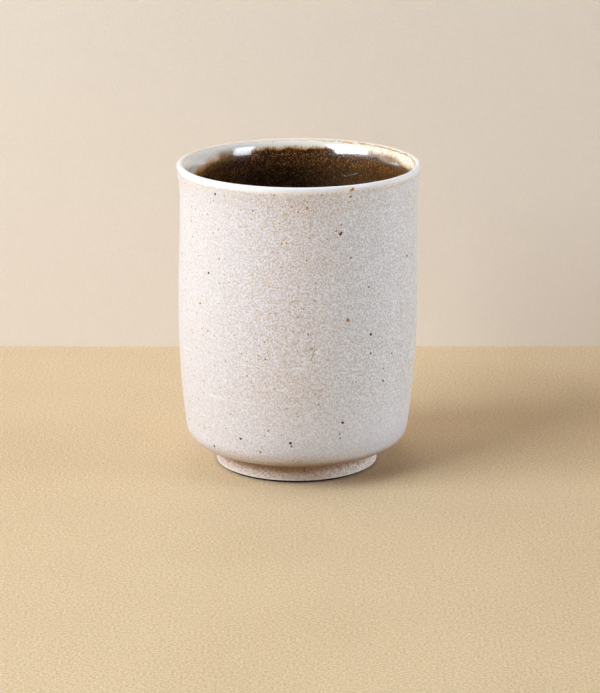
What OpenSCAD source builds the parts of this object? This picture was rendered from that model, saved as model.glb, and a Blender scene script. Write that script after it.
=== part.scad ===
// Yunomi: a tall Japanese tea cup without a handle, thrown in stoneware on a small turned foot.
// The fired clay carries four coats: a pale glaze outside, an iron-brown liner inside,
// a thick white glaze over the lip that laps onto both, and a thin wash on the foot.
// Every coat lies face to face on the clay. The cup stands on Z = 0 with its axis on Z.

/* [Overall] */
// Height from the table to the crest of the lip
cup_h = 90; // [76:1:108]
// Widest diameter of the body, over the glaze; the lip, the neck and the foot follow it
belly_d = 69.8; // [60:0.2:84]

/* [Lip] */
// How far the lip stands out past the widest line of the body
lip_overhang = 0.7; // [0.3:0.1:2]
// Radius of the lip's outer edge
lip_edge_r = 0.85; // [0.7:0.05:1.1]
// Radius of the slope from the crest into the cup
lip_slope_r = 2.4; // [1.6:0.1:2.8]

/* [Wall] */
// How far the neck under the lip draws in from the widest line of the body
neck_draw = 0.45; // [0.1:0.05:1.6]
// Distance from the crest of the lip down to the neck
neck_drop = 10.4; // [8:0.2:14]
// Height of the widest place of the body
belly_z = 46; // [38:1:52]
// Radius of the slow curve from the belly down to the shoulder
lower_curve_r = 262; // [210:2:400]
// Radius of the shoulder that turns under the body
shoulder_r = 6.1; // [5:0.1:7]
// Thickness of the wall at the neck, with both glazes
neck_wall_t = 3; // [2.4:0.1:3.8]
// Thickness of the wall at the belly, with both glazes
wall_t = 3.6; // [3:0.1:4.6]

/* [Floor] */
// Thickness of the floor over the recess of the foot, with its glaze
floor_t = 4.6; // [3.6:0.1:6]
// Radius of the corner between the floor and the wall inside
inner_corner_r = 9; // [6:0.5:12]

/* [Foot] */
// Height of the underside of the body over the table
underside_z = 6.4; // [5.6:0.1:8]
// How far the edge of the foot stands in from the widest line of the body
foot_setback = 10.8; // [9.8:0.1:14]
// How far the foot draws in from its edge to its throat
throat_draw = 1.2; // [0.6:0.1:2]
// Radius of the hollow between the throat and the underside
throat_r = 1.8; // [1:0.1:2.4]
// Bevel at the edge of the foot, outside and inside
foot_bevel = 0.6; // [0.3:0.1:0.8]
// Width of the foot ring on the table, with its bevels
foot_ring_w = 4.6; // [3.6:0.1:6]
// Depth of the recess inside the foot ring
recess_depth = 4.8; // [4.4:0.1:5.4]
// How far the recess draws in from its mouth to its top
recess_draw = 0.6; // [0.2:0.1:1.2]
// Radius of the corner at the top of the recess
recess_corner_r = 1.6; // [0.8:0.1:2.4]

/* [Glazes] */
// Thickness of each glaze
glaze_t = 0.4; // [0.25:0.05:0.5]
// Thickness of the wash on the foot
wash_t = 0.15; // [0.1:0.05:0.25]
// How far the lip glaze reaches down outside, from the crest
lip_glaze_out = 2.6; // [2.2:0.1:4]
// How far the lip glaze reaches down inside, from the crest
lip_glaze_in = 4.6; // [4.2:0.1:6.6]
// Height over which the lip glaze laps onto the pale glaze
outer_lap = 0.4; // [0.2:0.1:0.6]
// Height over which the lip glaze laps onto the liner
inner_lap = 0.8; // [0.4:0.1:1.2]

/* [Hidden] */
$fn = 96;

// Steps along a short round, a long round and a slow curve
round_steps = 8;
turn_steps = 14;
curve_steps = 8;

// Radii of the named rings
belly_r = belly_d / 2;
lip_r = belly_r + lip_overhang;
crest_r = lip_r - lip_edge_r;
neck_r = belly_r - neck_draw;
inner_belly_r = belly_r - wall_t;
inner_lip_r = crest_r - lip_slope_r;
inner_neck_r = neck_r - neck_wall_t;
foot_r = belly_r - foot_setback;
foot_throat_r = foot_r - throat_draw;
recess_r = foot_r - foot_ring_w;
recess_top_r = recess_r - recess_draw;

// Heights of the named rings
neck_z = cup_h - neck_drop;
floor_z = recess_depth + floor_t;
clay_underside_z = underside_z + glaze_t;
edge_centre_z = cup_h - lip_edge_r;
slope_centre_z = cup_h - lip_slope_r;

// The lip flares out of the neck on a quarter sine, and its edge turns until it meets that slope
flare_turn = atan((lip_r - neck_r) * PI / 2 / (edge_centre_z - neck_z));
flare_start_r = crest_r + lip_edge_r * cos(flare_turn);
flare_start_z = edge_centre_z - lip_edge_r * sin(flare_turn);

// Where the lip glaze ends: at the surface and, higher up, on the clay
lip_glaze_out_z = cup_h - lip_glaze_out;
lip_glaze_out_top_z = lip_glaze_out_z + outer_lap;
lip_glaze_in_z = cup_h - lip_glaze_in;
lip_glaze_in_top_z = lip_glaze_in_z + inner_lap;

// Centres of the rounds under the belly: outside, and inside the cup
lower_centre = [belly_r - lower_curve_r, belly_z];
shoulder_centre = inner_round_centre(lower_curve_r, shoulder_r, underside_z + shoulder_r);
shoulder_angle = angle_of(shoulder_centre - lower_centre);
inner_curve_r = lower_curve_r - wall_t;
corner_centre = inner_round_centre(inner_curve_r, inner_corner_r, floor_z + inner_corner_r);
corner_angle = angle_of(corner_centre - lower_centre);

// The pale glaze ends halfway along the flat between the shoulder and the hollow over the foot
hollow_r = foot_throat_r + throat_r;
glaze_edge_r = (hollow_r + shoulder_centre[0]) / 2;

// The foot flares from its throat to the top of its bevel on one arc
wash_top_z = clay_underside_z - wash_t;
throat_z = wash_top_z - throat_r;
foot_flare_h = throat_z - foot_bevel;
foot_flare_r = (throat_draw * throat_draw + foot_flare_h * foot_flare_h) / (2 * throat_draw);
foot_flare_angle = asin(foot_flare_h / foot_flare_r);

// Direction of a vector
function angle_of(v) = atan2(v[1], v[0]);

// Share of a change made at share s of its way, level at both ends
function ease(s) = (1 - cos(180 * s)) / 2;

// Centre, at height z, of a small round that touches the slow curve of radius big_r from inside
function inner_round_centre(big_r, small_r, z) =
    [lower_centre[0] + sqrt(pow(big_r - small_r, 2) - pow(belly_z - z, 2)), z];

// Point of a circle at an angle
function on_circle(centre, r, angle) = centre + r * [cos(angle), sin(angle)];

// Points of an arc, without its first point
function arc(centre, r, from, to, steps) =
    [for (i = [1:steps]) on_circle(centre, r, from + (to - from) * i / steps)];

// Heights from one to another, without the first
function heights(from, to, steps) = [for (i = [1:steps]) from + (to - from) * i / steps];

// Radius of the flared lip at height z, over the glaze
function flare_radius(z) =
    neck_r + (flare_start_r - neck_r) * (1 - sin(90 * (flare_start_z - z) / (flare_start_z - neck_z)));

// Radius inside the flared lip at height z, over the glaze
function inner_radius(z) =
    inner_lip_r + (inner_neck_r - inner_lip_r) * ease((slope_centre_z - z) / (slope_centre_z - neck_z));

// The lines below run down from the crest, at depth t under the surface of the glaze

// Crest of the lip
function crest(t) = [[crest_r, cup_h - t]];

// Edge of the lip, from the crest to the start of the flare
function lip_edge_line(t) = arc([crest_r, edge_centre_z], lip_edge_r - t, 90, -flare_turn, round_steps);

// Stretch of the flare between two heights
function flare_line(t, from, to) =
    [for (z = heights(from, to, round_steps)) [flare_radius(z) - t, z]];

// Upper wall, from radius neck at the neck to radius belly at the belly
function upper_line(neck, belly) =
    [for (z = heights(neck_z, belly_z, curve_steps))
        [neck + (belly - neck) * ease((neck_z - z) / (neck_z - belly_z)), z]];

// Lower wall, from the belly round the shoulder to the edge of the glaze under the body
function lower_line(t) = concat(
    arc(lower_centre, lower_curve_r - t, 0, shoulder_angle, curve_steps),
    arc(shoulder_centre, shoulder_r - t, shoulder_angle, -90, turn_steps),
    [[glaze_edge_r, underside_z + t]]
);

// Slope of the lip into the cup
function slope_line(t) = arc([crest_r, slope_centre_z], lip_slope_r - t, 90, 180, round_steps);

// Stretch of the flare inside between two heights
function inner_line(t, from, to) =
    [for (z = heights(from, to, curve_steps)) [inner_radius(z) + t, z]];

// Wall inside, from the neck past the belly and round the corner to the middle of the floor
function basin_line(t) = concat(
    upper_line(inner_neck_r + t, inner_belly_r + t),
    arc(lower_centre, inner_curve_r + t, 0, corner_angle, curve_steps),
    arc(corner_centre, inner_corner_r + t, corner_angle, -90, turn_steps),
    [[0, floor_z - t]]
);

// Outside of the foot, from the hollow over it down to the bevel, at depth t under the wash
function foot_line(t) = concat(
    [[hollow_r, wash_top_z + t]],
    arc([hollow_r, throat_z], throat_r + t, 90, 180, round_steps),
    arc([foot_throat_r + foot_flare_r, throat_z], foot_flare_r + t, 180, 180 + foot_flare_angle, round_steps)
);

// Underneath: the bevelled ring on the table and the recess inside it
ring_line = [
    [foot_r - wash_t - foot_bevel, 0],
    [recess_r + foot_bevel, 0],
    [recess_r, foot_bevel]
];
recess_corner_z = recess_depth - recess_corner_r;
recess_line = concat(
    [[recess_top_r, recess_corner_z]],
    arc([recess_top_r - recess_corner_r, recess_corner_z], recess_corner_r, 0, 90, round_steps),
    [[0, recess_depth]]
);

// The same points in the other order
function reversed(points) = [for (i = [len(points) - 1:-1:0]) points[i]];

// The clay's own surface, outside down to the edge of the glaze and inside down to the floor
clay_outside = concat(
    crest(glaze_t),
    lip_edge_line(glaze_t),
    flare_line(glaze_t, flare_start_z, lip_glaze_out_top_z),
    flare_line(glaze_t, lip_glaze_out_top_z, neck_z),
    upper_line(neck_r - glaze_t, belly_r - glaze_t),
    lower_line(glaze_t)
);
clay_inside = concat(
    slope_line(glaze_t),
    inner_line(glaze_t, slope_centre_z, lip_glaze_in_top_z),
    inner_line(glaze_t, lip_glaze_in_top_z, neck_z),
    basin_line(glaze_t)
);

// Turns an outline round the cup's axis
module turned(outline) {
    rotate_extrude()
        polygon(outline);
}

// Fired stoneware: wall, floor and turned foot ring in one piece
module clay_body() {
    color("#b58a62")
        turned(concat(clay_outside, foot_line(wash_t), ring_line, recess_line, reversed(clay_inside)));
}

// Pale speckled glaze, from under the lip to the underside of the body
module outer_glaze() {
    surface_line = concat(
        flare_line(0, lip_glaze_out_z, neck_z),
        upper_line(neck_r, belly_r),
        lower_line(0)
    );
    clay_line = concat(
        flare_line(glaze_t, lip_glaze_out_top_z, neck_z),
        upper_line(neck_r - glaze_t, belly_r - glaze_t),
        lower_line(glaze_t)
    );
    color("#e6ded4")
        turned(concat(
            [[flare_radius(lip_glaze_out_z), lip_glaze_out_z]],
            surface_line,
            reversed(clay_line),
            [[flare_radius(lip_glaze_out_top_z) - glaze_t, lip_glaze_out_top_z]]
        ));
}

// Iron-brown liner, from under the lip glaze down over the whole floor
module liner_glaze() {
    surface_line = concat(inner_line(0, lip_glaze_in_z, neck_z), basin_line(0));
    clay_line = concat(inner_line(glaze_t, lip_glaze_in_top_z, neck_z), basin_line(glaze_t));
    color("#4a2a16")
        turned(concat(
            [[inner_radius(lip_glaze_in_z), lip_glaze_in_z]],
            surface_line,
            reversed(clay_line),
            [[inner_radius(lip_glaze_in_top_z) + glaze_t, lip_glaze_in_top_z]]
        ));
}

// Thick white glaze over the lip, lapped onto the outer glaze and onto the liner
module lip_glaze() {
    surface_outside = concat(
        crest(0),
        lip_edge_line(0),
        flare_line(0, flare_start_z, lip_glaze_out_z)
    );
    surface_inside = concat(slope_line(0), inner_line(0, slope_centre_z, lip_glaze_in_z));
    clay_outer_side = concat(
        crest(glaze_t),
        lip_edge_line(glaze_t),
        flare_line(glaze_t, flare_start_z, lip_glaze_out_top_z)
    );
    clay_inner_side = concat(slope_line(glaze_t), inner_line(glaze_t, slope_centre_z, lip_glaze_in_top_z));
    color("#f4efe6")
        turned(concat(
            surface_outside,
            reversed(clay_outer_side),
            clay_inner_side,
            reversed(surface_inside)
        ));
}

// Thin wash over the outside of the foot, from its bevel up to the edge of the pale glaze
module foot_wash() {
    color("#d8c8c0")
        turned(concat(
            [[glaze_edge_r, wash_top_z]],
            foot_line(0),
            reversed(foot_line(wash_t)),
            [[glaze_edge_r, clay_underside_z]]
        ));
}

clay_body();
outer_glaze();
liner_glaze();
lip_glaze();
foot_wash();
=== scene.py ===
import math

import bmesh
import bpy
import numpy as np
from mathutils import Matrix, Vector, noise


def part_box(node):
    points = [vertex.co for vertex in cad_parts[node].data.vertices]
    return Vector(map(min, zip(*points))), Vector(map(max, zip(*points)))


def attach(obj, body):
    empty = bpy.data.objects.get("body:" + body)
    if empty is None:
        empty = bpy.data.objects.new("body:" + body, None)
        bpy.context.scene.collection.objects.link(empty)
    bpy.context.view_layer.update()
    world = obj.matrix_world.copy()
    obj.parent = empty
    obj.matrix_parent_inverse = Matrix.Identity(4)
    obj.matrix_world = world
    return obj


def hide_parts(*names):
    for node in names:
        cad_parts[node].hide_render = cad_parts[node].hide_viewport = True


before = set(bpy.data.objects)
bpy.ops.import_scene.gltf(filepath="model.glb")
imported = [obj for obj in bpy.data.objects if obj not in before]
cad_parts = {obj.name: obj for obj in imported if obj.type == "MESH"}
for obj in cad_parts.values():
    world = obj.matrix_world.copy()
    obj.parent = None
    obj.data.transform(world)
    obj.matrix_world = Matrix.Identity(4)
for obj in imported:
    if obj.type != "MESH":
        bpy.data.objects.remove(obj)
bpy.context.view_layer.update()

# Looks of a yunomi tea cup: stoneware under a pale speckled glaze, an iron-brown liner,
# a thick white glaze over the lip and a thin wash on the foot. The front of the cup faces -Y.
# Lengths are in metres, and lines of a profile are lists of (radius, height) points.

MM = 0.001

# What the hand of the potter left

# The lip has drawn in by this much
LIP_DRAW = 0.25 * MM
# The foot sits this far to the left of the lip's centre
LEAN = 0.65 * MM
# The glaze pools inside the lip, which makes its slope longer and softer than the clay's
POOLED_SLOPE_H = 7.2 * MM
# Powers of the curve that the pooled slope follows
POOLED_POWERS = (2.2, 0.53)
# The wash runs down past the bevel of the foot and leaves a thin dark gap over the table
WASH_EDGE_Z = 0.85 * MM
UNDERCUT = 0.75 * MM
# The side of the foot is drawn in by this much at the table, from this height down
FOOT_TUCK = 0.42 * MM
FOOT_TUCK_H = 2.6 * MM

# Sizes read from the frame
CUP_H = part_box("lip_glaze")[1].z
LIP_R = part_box("lip_glaze")[1].x - LIP_DRAW
UNDERSIDE_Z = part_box("outer_glaze")[0].z
GLAZE_T = CUP_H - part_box("clay_body")[1].z
FLOOR_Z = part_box("liner_glaze")[0].z + GLAZE_T
LIP_GLAZE_IN_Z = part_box("lip_glaze")[0].z
FOOT_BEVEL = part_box("foot_wash")[0].z
GLAZE_EDGE_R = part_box("foot_wash")[1].x
WASH_T = 0.15 * MM
WASH_TOP_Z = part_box("foot_wash")[1].z - WASH_T

# Sizes of the profile
LIP_OVERHANG = 0.7 * MM - LIP_DRAW
LIP_EDGE_R = 0.85 * MM
LIP_SLOPE_R = 2.4 * MM
NECK_DRAW = 0.45 * MM
NECK_DROP = 10.4 * MM
BELLY_Z = 46 * MM
LOWER_CURVE_R = 262 * MM
SHOULDER_R = 6.1 * MM
NECK_WALL_T = 3 * MM
WALL_T = 3.6 * MM
INNER_CORNER_R = 9 * MM
FOOT_SETBACK = 10.8 * MM
THROAT_DRAW = 1.2 * MM
THROAT_R = 1.8 * MM
FOOT_RING_W = 4.6 * MM
RECESS_DEPTH = 4.8 * MM
RECESS_DRAW = 0.6 * MM
RECESS_CORNER_R = 1.6 * MM
LIP_GLAZE_OUT = 2.6 * MM
OUTER_LAP = 0.4 * MM
INNER_LAP = 0.8 * MM

BELLY_R = LIP_R - LIP_OVERHANG
CREST_R = LIP_R - LIP_EDGE_R
NECK_R = BELLY_R - NECK_DRAW
NECK_Z = CUP_H - NECK_DROP
INNER_LIP_R = CREST_R - LIP_SLOPE_R
INNER_NECK_R = NECK_R - NECK_WALL_T
INNER_BELLY_R = BELLY_R - WALL_T
FOOT_R = BELLY_R - FOOT_SETBACK
THROAT_FOOT_R = FOOT_R - THROAT_DRAW
HOLLOW_R = THROAT_FOOT_R + THROAT_R
THROAT_Z = WASH_TOP_Z - THROAT_R
RECESS_R = FOOT_R - FOOT_RING_W
RECESS_TOP_R = RECESS_R - RECESS_DRAW
EDGE_Z = CUP_H - LIP_EDGE_R
SLOPE_Z = CUP_H - LIP_SLOPE_R

# Steps of a round, of a slow curve and of the long curve of the wall
ROUND_STEPS = 24
CURVE_STEPS = 48
LONG_STEPS = 64

# The photograph's camera
CAMERA_AT = (0.32 * MM, -797.1 * MM, 258.8 * MM)
CAMERA_PITCH = 15.715
CAMERA_LENS = 168.85
SENSOR = 36.0


def srgb(red, green, blue):
    """Linear colour of an 8-bit screen colour."""
    def linear(c):
        c /= 255
        return c / 12.92 if c <= 0.04045 else ((c + 0.055) / 1.055) ** 2.4
    return (linear(red), linear(green), linear(blue), 1)


# Profile

def ease(s):
    """Share from 0 to 1 that starts and ends level."""
    return (1 - math.cos(math.pi * s)) / 2


def span(start, end, steps):
    """Values after start, up to end."""
    return [start + (end - start) * i / steps for i in range(1, steps + 1)]


def arc(centre, r, start, end, steps=ROUND_STEPS):
    """Points of an arc between two angles in degrees, without its first point."""
    turns = [math.radians(a) for a in span(start, end, steps)]
    return [(centre[0] + r * math.cos(a), centre[1] + r * math.sin(a)) for a in turns]


def direction(point, centre):
    """Angle in degrees at which a point lies from a centre."""
    return math.degrees(math.atan2(point[1] - centre[1], point[0] - centre[0]))


def touching_round(big_r, small_r, z):
    """Centre at height z of a round that touches the wall's slow curve from inside."""
    return (LOWER_CENTRE[0] + math.sqrt((big_r - small_r) ** 2 - (BELLY_Z - z) ** 2), z)


LOWER_CENTRE = (BELLY_R - LOWER_CURVE_R, BELLY_Z)
SHOULDER_CENTRE = touching_round(LOWER_CURVE_R, SHOULDER_R, UNDERSIDE_Z + SHOULDER_R)
SHOULDER_ANGLE = direction(SHOULDER_CENTRE, LOWER_CENTRE)
INNER_CURVE_R = LOWER_CURVE_R - WALL_T
CORNER_CENTRE = touching_round(INNER_CURVE_R, INNER_CORNER_R, FLOOR_Z + INNER_CORNER_R)
CORNER_ANGLE = direction(CORNER_CENTRE, LOWER_CENTRE)

FLARE_TURN = math.degrees(math.atan((LIP_R - NECK_R) * math.pi / 2 / (EDGE_Z - NECK_Z)))
FLARE_R = CREST_R + LIP_EDGE_R * math.cos(math.radians(FLARE_TURN))
FLARE_Z = EDGE_Z - LIP_EDGE_R * math.sin(math.radians(FLARE_TURN))
FLARE_FOOT_H = THROAT_Z - FOOT_BEVEL
FOOT_FLARE_R = (THROAT_DRAW ** 2 + FLARE_FOOT_H ** 2) / (2 * THROAT_DRAW)
FOOT_FLARE_ANGLE = math.degrees(math.asin(FLARE_FOOT_H / FOOT_FLARE_R))


def flare_line(t, top, bottom):
    """Outside of the flared lip between two heights, at depth t."""
    def radius(z):
        share = (FLARE_Z - z) / (FLARE_Z - NECK_Z)
        return NECK_R + (FLARE_R - NECK_R) * (1 - math.sin(math.pi / 2 * share))
    return [(radius(z) - t, z) for z in span(top, bottom, ROUND_STEPS)]


def eased_line(r_top, top, r_bottom, bottom):
    """Wall that goes from one radius to another, level at both ends."""
    heights = span(top, bottom, CURVE_STEPS)
    return [(r_top + (r_bottom - r_top) * ease((top - z) / (top - bottom)), z) for z in heights]


def lip_edge(t):
    """Outer half of the lip from its crest, at depth t."""
    return [(CREST_R, CUP_H - t)] + arc((CREST_R, EDGE_Z), LIP_EDGE_R - t, 90, -FLARE_TURN)


def slope(t):
    """Inner half of the clay's lip from its crest, at depth t."""
    return [(CREST_R, CUP_H - t)] + arc((CREST_R, SLOPE_Z), LIP_SLOPE_R - t, 90, 180)


def pooled_slope():
    """Surface of the glaze inside the lip: round at the crest, and ever steeper down to the neck."""
    line = [(CREST_R, CUP_H)]
    for s in span(0, 1, CURVE_STEPS):
        up = 1 - s * s
        inward = (CREST_R - INNER_NECK_R) * (1 - up ** POOLED_POWERS[0]) ** POOLED_POWERS[1]
        line.append((CREST_R - inward, CUP_H - POOLED_SLOPE_H * (1 - up)))
    return line + [(INNER_NECK_R, NECK_Z)]


def outer_wall(t):
    """Outside from the neck to the edge of the glaze under the body, at depth t."""
    return (
        eased_line(NECK_R - t, NECK_Z, BELLY_R - t, BELLY_Z)
        + arc(LOWER_CENTRE, LOWER_CURVE_R - t, 0, SHOULDER_ANGLE, LONG_STEPS)
        + arc(SHOULDER_CENTRE, SHOULDER_R - t, SHOULDER_ANGLE, -90)
        + [(GLAZE_EDGE_R, UNDERSIDE_Z + t)]
    )


def inner_flare(t):
    """Inside from the slope of the lip down to the neck, at depth t."""
    return eased_line(INNER_LIP_R + t, SLOPE_Z, INNER_NECK_R + t, NECK_Z)


def basin(t):
    """Inside from the neck to the middle of the floor, at depth t."""
    return (
        eased_line(INNER_NECK_R + t, NECK_Z, INNER_BELLY_R + t, BELLY_Z)
        + arc(LOWER_CENTRE, INNER_CURVE_R + t, 0, CORNER_ANGLE, CURVE_STEPS)
        + arc(CORNER_CENTRE, INNER_CORNER_R + t, CORNER_ANGLE, -90)
        + [(0, FLOOR_Z - t)]
    )


def foot_side(t):
    """Outside of the foot from the edge of the glaze down to its bevel, at depth t."""
    return (
        [(GLAZE_EDGE_R, WASH_TOP_Z + t), (HOLLOW_R, WASH_TOP_Z + t)]
        + arc((HOLLOW_R, THROAT_Z), THROAT_R + t, 90, 180)
        + arc((THROAT_FOOT_R + FOOT_FLARE_R, THROAT_Z), FOOT_FLARE_R + t, 180, 180 + FOOT_FLARE_ANGLE)
    )


def cut(line, top, bottom):
    """The stretch of a line that lies between two heights, with its ends at those heights."""
    points = []
    for (r0, z0), (r1, z1) in zip(line, line[1:]):
        for z in (top, bottom):
            if (z0 - z) * (z1 - z) < 0:
                points.append((r0 + (r1 - r0) * (z - z0) / (z1 - z0), z))
        if bottom <= z1 <= top:
            points.append((r1, z1))
    if bottom <= line[0][1] <= top:
        points.insert(0, line[0])
    return points


def tucked(line):
    """The side of the foot, drawn in towards the table."""
    return [(r - FOOT_TUCK * max(0, 1 - z / FOOT_TUCK_H) ** 2, z) for r, z in line]


def washed_side(t):
    """Outside of the foot down to the lower edge of its wash, at depth t."""
    return tucked(cut(foot_side(t), CUP_H, WASH_EDGE_Z))


def even(line, step):
    """The same line with its points evenly spaced, about step apart."""
    points = np.array(line)
    run = np.concatenate([[0], np.cumsum(np.linalg.norm(np.diff(points, axis=0), axis=1))])
    at = np.linspace(0, run[-1], max(2, round(run[-1] / step) + 1))
    return list(zip(np.interp(at, run, points[:, 0]), np.interp(at, run, points[:, 1])))


def softened(line, radius, steps=4):
    """The same line with each corner turned into a short curve."""
    points = [np.array(p) for p in line]
    out = [points[0]]
    for before, corner, after in zip(points, points[1:], points[2:]):
        reach = min(radius, np.linalg.norm(corner - before) / 2, np.linalg.norm(after - corner) / 2)
        start = corner + (before - corner) / np.linalg.norm(before - corner) * reach
        end = corner + (after - corner) / np.linalg.norm(after - corner) * reach
        for s in (i / steps for i in range(steps + 1)):
            out.append(start * (1 - s) ** 2 + corner * 2 * s * (1 - s) + end * s * s)
    return [tuple(p) for p in out + [points[-1]]]


# Relief: how far the surface stands off its profile

# Rings of the throwing: depth, and the height in which their wave runs through one radian
THROWING_DEPTH = 0.022 * MM
THROWING_RADIAN = 0.92 * MM
# Marks of the turning tool under the foot, in the same form, and how far they drift in half a turn
TURNING_DEPTH = 0.03 * MM
TURNING_RADIAN = 0.21 * MM
TURNING_DRIFT = 1.5
# Surfaces are sunk by about what their relief stands up
THROWN_SUNK = 0.01 * MM
COAT_SUNK = 0.03 * MM
# The dent beside the flaw on the front: x and z of its middle, half its width and height, and its depth
DENT_X, DENT_Z = 4.9 * MM, 42.8 * MM
DENT_HALF_W, DENT_HALF_H = 0.55 * MM, 0.9 * MM
DENT_DEPTH = 0.16 * MM


def ripple(point, deep, wide, seed=0.0):
    """Smooth noise that stands up or down by deep at most, in lumps about wide across."""
    return deep * noise.noise(Vector(point) / wide + Vector((seed, seed, seed)))


def throwing(z):
    """Rings that the fingers left while the cup was thrown."""
    rings = math.sin(z / THROWING_RADIAN)
    return rings * ripple((0, 0, z), deep=THROWING_DEPTH, wide=11 * MM, seed=3) - THROWN_SUNK


def outer_relief(point):
    """Orange peel of a thick satin glaze over a wall thrown by hand, with a dent on the front."""
    x, y, z = point
    fine_peel = ripple(point, deep=0.03 * MM, wide=1.5 * MM)
    peel = ripple(point, deep=0.025 * MM, wide=3.4 * MM, seed=7)
    hand = ripple(point, deep=0.07 * MM, wide=26 * MM, seed=5)
    dent = math.exp(-((x - DENT_X) / DENT_HALF_W) ** 2 - ((z - DENT_Z) / DENT_HALF_H) ** 2)
    return fine_peel + peel + throwing(z) + hand - DENT_DEPTH * dent * (y < 0)


def lip_relief(point):
    """Slow swells of a thick, fluid glaze."""
    hand = ripple(point, deep=0.03 * MM, wide=7 * MM, seed=5)
    return hand + ripple(point, deep=0.006 * MM, wide=1.6 * MM) - COAT_SUNK


def liner_relief(point):
    """A fluid glaze over the throwing rings of the inside."""
    hand = ripple(point, deep=0.05 * MM, wide=14 * MM, seed=2)
    return throwing(point[2]) + hand + ripple(point, deep=0.008 * MM, wide=1.8 * MM)


def wash_relief(point):
    """A thin wash, brushed on unevenly."""
    hand = ripple(point, deep=0.03 * MM, wide=4 * MM, seed=9)
    return ripple(point, deep=0.016 * MM, wide=1.1 * MM) + hand - COAT_SUNK


def clay_relief(point):
    """Marks of the turning tool round the foot and in its recess."""
    x, y, z = point
    drift = TURNING_DRIFT * math.atan2(y, x) / math.pi
    turned = TURNING_DEPTH * math.sin(math.hypot(x, y) / TURNING_RADIAN + drift)
    relief = turned * (z > FOOT_BEVEL) + ripple(point, deep=0.02 * MM, wide=1.5 * MM)
    return relief * min(1, z / FOOT_BEVEL)


# Meshes

# Gap between the back of a coat and the clay, so that no two faces coincide
BACK_GAP = 0.02 * MM
# Segments round a mesh that shows from near, and round the others
FINE_TURN = 420
PLAIN_TURN = 320
# Rows over which the relief fades out towards an end of the seen side
FADE_ROWS = 4
# How far up the UV map the seen side reaches, and between which heights the hidden side lies
UV_SEEN = 0.9
UV_HIDDEN = (0.92, 0.98)
# A radius under this lies on the axis
ON_AXIS = 1e-9
# Keeps a doubled point of a line from a division by zero
LEAST_STEP = 1e-12


def normals_of(line):
    """Outward direction at each point of a line that has the piece on its left."""
    points = np.array(line)
    along = np.gradient(points, axis=0)
    along /= np.maximum(np.linalg.norm(along, axis=1), LEAST_STEP)[:, None]
    return np.column_stack([-along[:, 1], along[:, 0]])


def turned_mesh(name, face, back, segments, relief, outward):
    """Closed mesh turned round Z from a seen line and the hidden line behind it, given in the same direction.
    The seen side takes the relief, which fades out at its two ends unless they lie on the axis."""
    rows = list(face) + list(back)[::-1]
    lift = np.zeros((len(rows), 2))
    lift[: len(face)] = normals_of(face) * outward
    fade = [1.0] * len(rows)
    for i in range(len(face)):
        ends = [n for n, p in ((i, face[0]), (len(face) - 1 - i, face[-1])) if p[0] > 0]
        fade[i] = min([1.0] + [n / FADE_ROWS for n in ends])
    turns = [2 * math.pi * k / segments for k in range(segments)]
    vertices, first, row_of = [], [], []
    for i, (r, z) in enumerate(rows):
        first.append(len(vertices))
        for a in turns if r > ON_AXIS else [0.0]:
            d = relief((r * math.cos(a), r * math.sin(a), z)) * fade[i] if i < len(face) else 0.0
            ring_r = r + d * lift[i][0] if r > ON_AXIS else 0.0
            height = z + d * lift[i][1]
            lean = -LEAN * (1 - height / CUP_H)
            vertices.append((ring_r * math.cos(a) + lean, ring_r * math.sin(a), height))
            row_of.append(i)
    unrolled = np.concatenate([np.linspace(0, UV_SEEN, len(face)), np.linspace(*UV_HIDDEN, len(back)), [1.0]])
    faces, unwrap = [], []
    for i in range(len(rows)):
        j = (i + 1) % len(rows)
        low, high = rows[i][0] > ON_AXIS, rows[j][0] > ON_AXIS
        if not (low or high):
            continue
        for k in range(segments):
            n = (k + 1) % segments
            u0, u1 = k / segments, (k + 1) / segments
            corners = [(first[i] + k * low, u0, i), (first[i] + n * low, u1, i)][: 1 + low]
            corners += [(first[j] + n * high, u1, i + 1), (first[j] + k * high, u0, i + 1)][1 - high:]
            faces.append([c[0] for c in corners])
            unwrap += [(c[1], unrolled[c[2]]) for c in corners]
    mesh = bpy.data.meshes.new(name)
    mesh.from_pydata(vertices, [], faces)
    mesh.uv_layers.new(name="OFBake").data.foreach_set("uv", np.array(unwrap, np.float32).ravel())
    mesh.polygons.foreach_set("use_smooth", [True] * len(mesh.polygons))
    mesh.validate()
    mesh.update()
    piece = bpy.data.objects.new(name, mesh)
    bpy.context.scene.collection.objects.link(piece)
    face_outwards(piece)
    sharpen(mesh, row_of, (0, len(face) - 1))
    return piece


def sharpen(mesh, row_of, sharp_rows):
    """Marks the edges along some rows sharp, so that the seen side is shaded apart from the hidden one."""
    ends = np.empty(2 * len(mesh.edges), np.int32)
    mesh.edges.foreach_get("vertices", ends)
    rows = np.array(row_of)[ends.reshape(-1, 2)]
    along = rows[:, 0] == rows[:, 1]
    mesh.edges.foreach_set("use_edge_sharp", along & np.isin(rows[:, 0], sharp_rows))


def face_outwards(piece):
    """Turns the faces so that the closed mesh has a positive volume."""
    work = bmesh.new()
    work.from_mesh(piece.data)
    if work.calc_volume(signed=True) < 0:
        bmesh.ops.reverse_faces(work, faces=work.faces)
    work.to_mesh(piece.data)
    work.free()


def outer_glaze_mesh():
    lower_edge = CUP_H - LIP_GLAZE_OUT
    seen = flare_line(0, FLARE_Z, NECK_Z) + outer_wall(0)
    hidden = flare_line(GLAZE_T - BACK_GAP, FLARE_Z, NECK_Z) + outer_wall(GLAZE_T - BACK_GAP)
    return turned_mesh(
        "pale_glaze_outside",
        even(cut(seen, lower_edge, UNDERSIDE_Z), step=0.55 * MM),
        even(cut(hidden, lower_edge + OUTER_LAP, UNDERSIDE_Z + GLAZE_T - BACK_GAP), step=3 * MM),
        FINE_TURN, outer_relief, 1,
    )


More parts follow.
